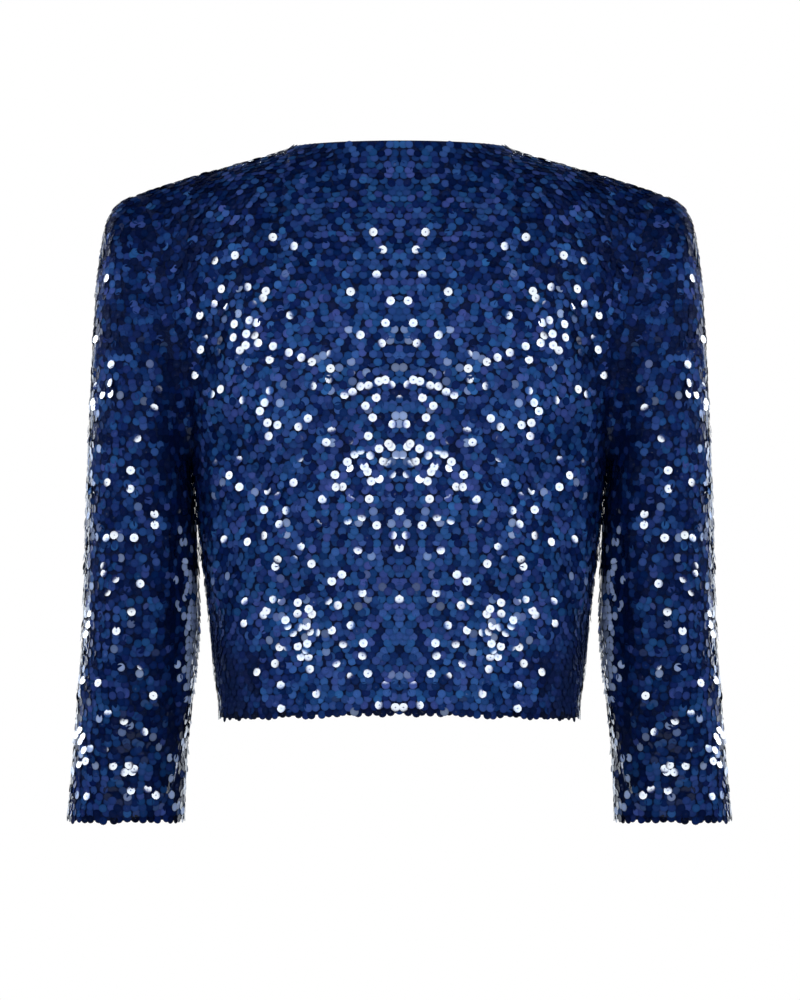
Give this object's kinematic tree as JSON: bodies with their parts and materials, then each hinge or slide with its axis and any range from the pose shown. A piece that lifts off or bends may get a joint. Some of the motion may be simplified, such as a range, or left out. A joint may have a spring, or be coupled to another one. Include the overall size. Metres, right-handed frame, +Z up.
{
  "type": "jacket",
  "caption": "Cropped collarless sequinned jacket with squared shoulders and set-in three-quarter sleeves, open at the front and filled out as if worn",
  "frame": {"origin": "midway between the shoulders, level with the shoulder seams where they meet the neck edge, which is where the wearer's shoulders hold the jacket up", "axes": "+Z up; the back of the jacket faces +Y and its fronts face -Y; +X is the wearer's left"},
  "size_m": [0.504, 0.2175, 0.5098],
  "materials": {
    "sequin_cloth": "navy mesh cloth covered all over with round, flat, glossy blue sequins"
  },
  "bodies": {
    "root": {"back": "sequin_cloth", "front_left": "sequin_cloth", "front_right": "sequin_cloth", "sleeve_left": "sequin_cloth", "sleeve_right": "sequin_cloth"}
  },
  "joints": []
}
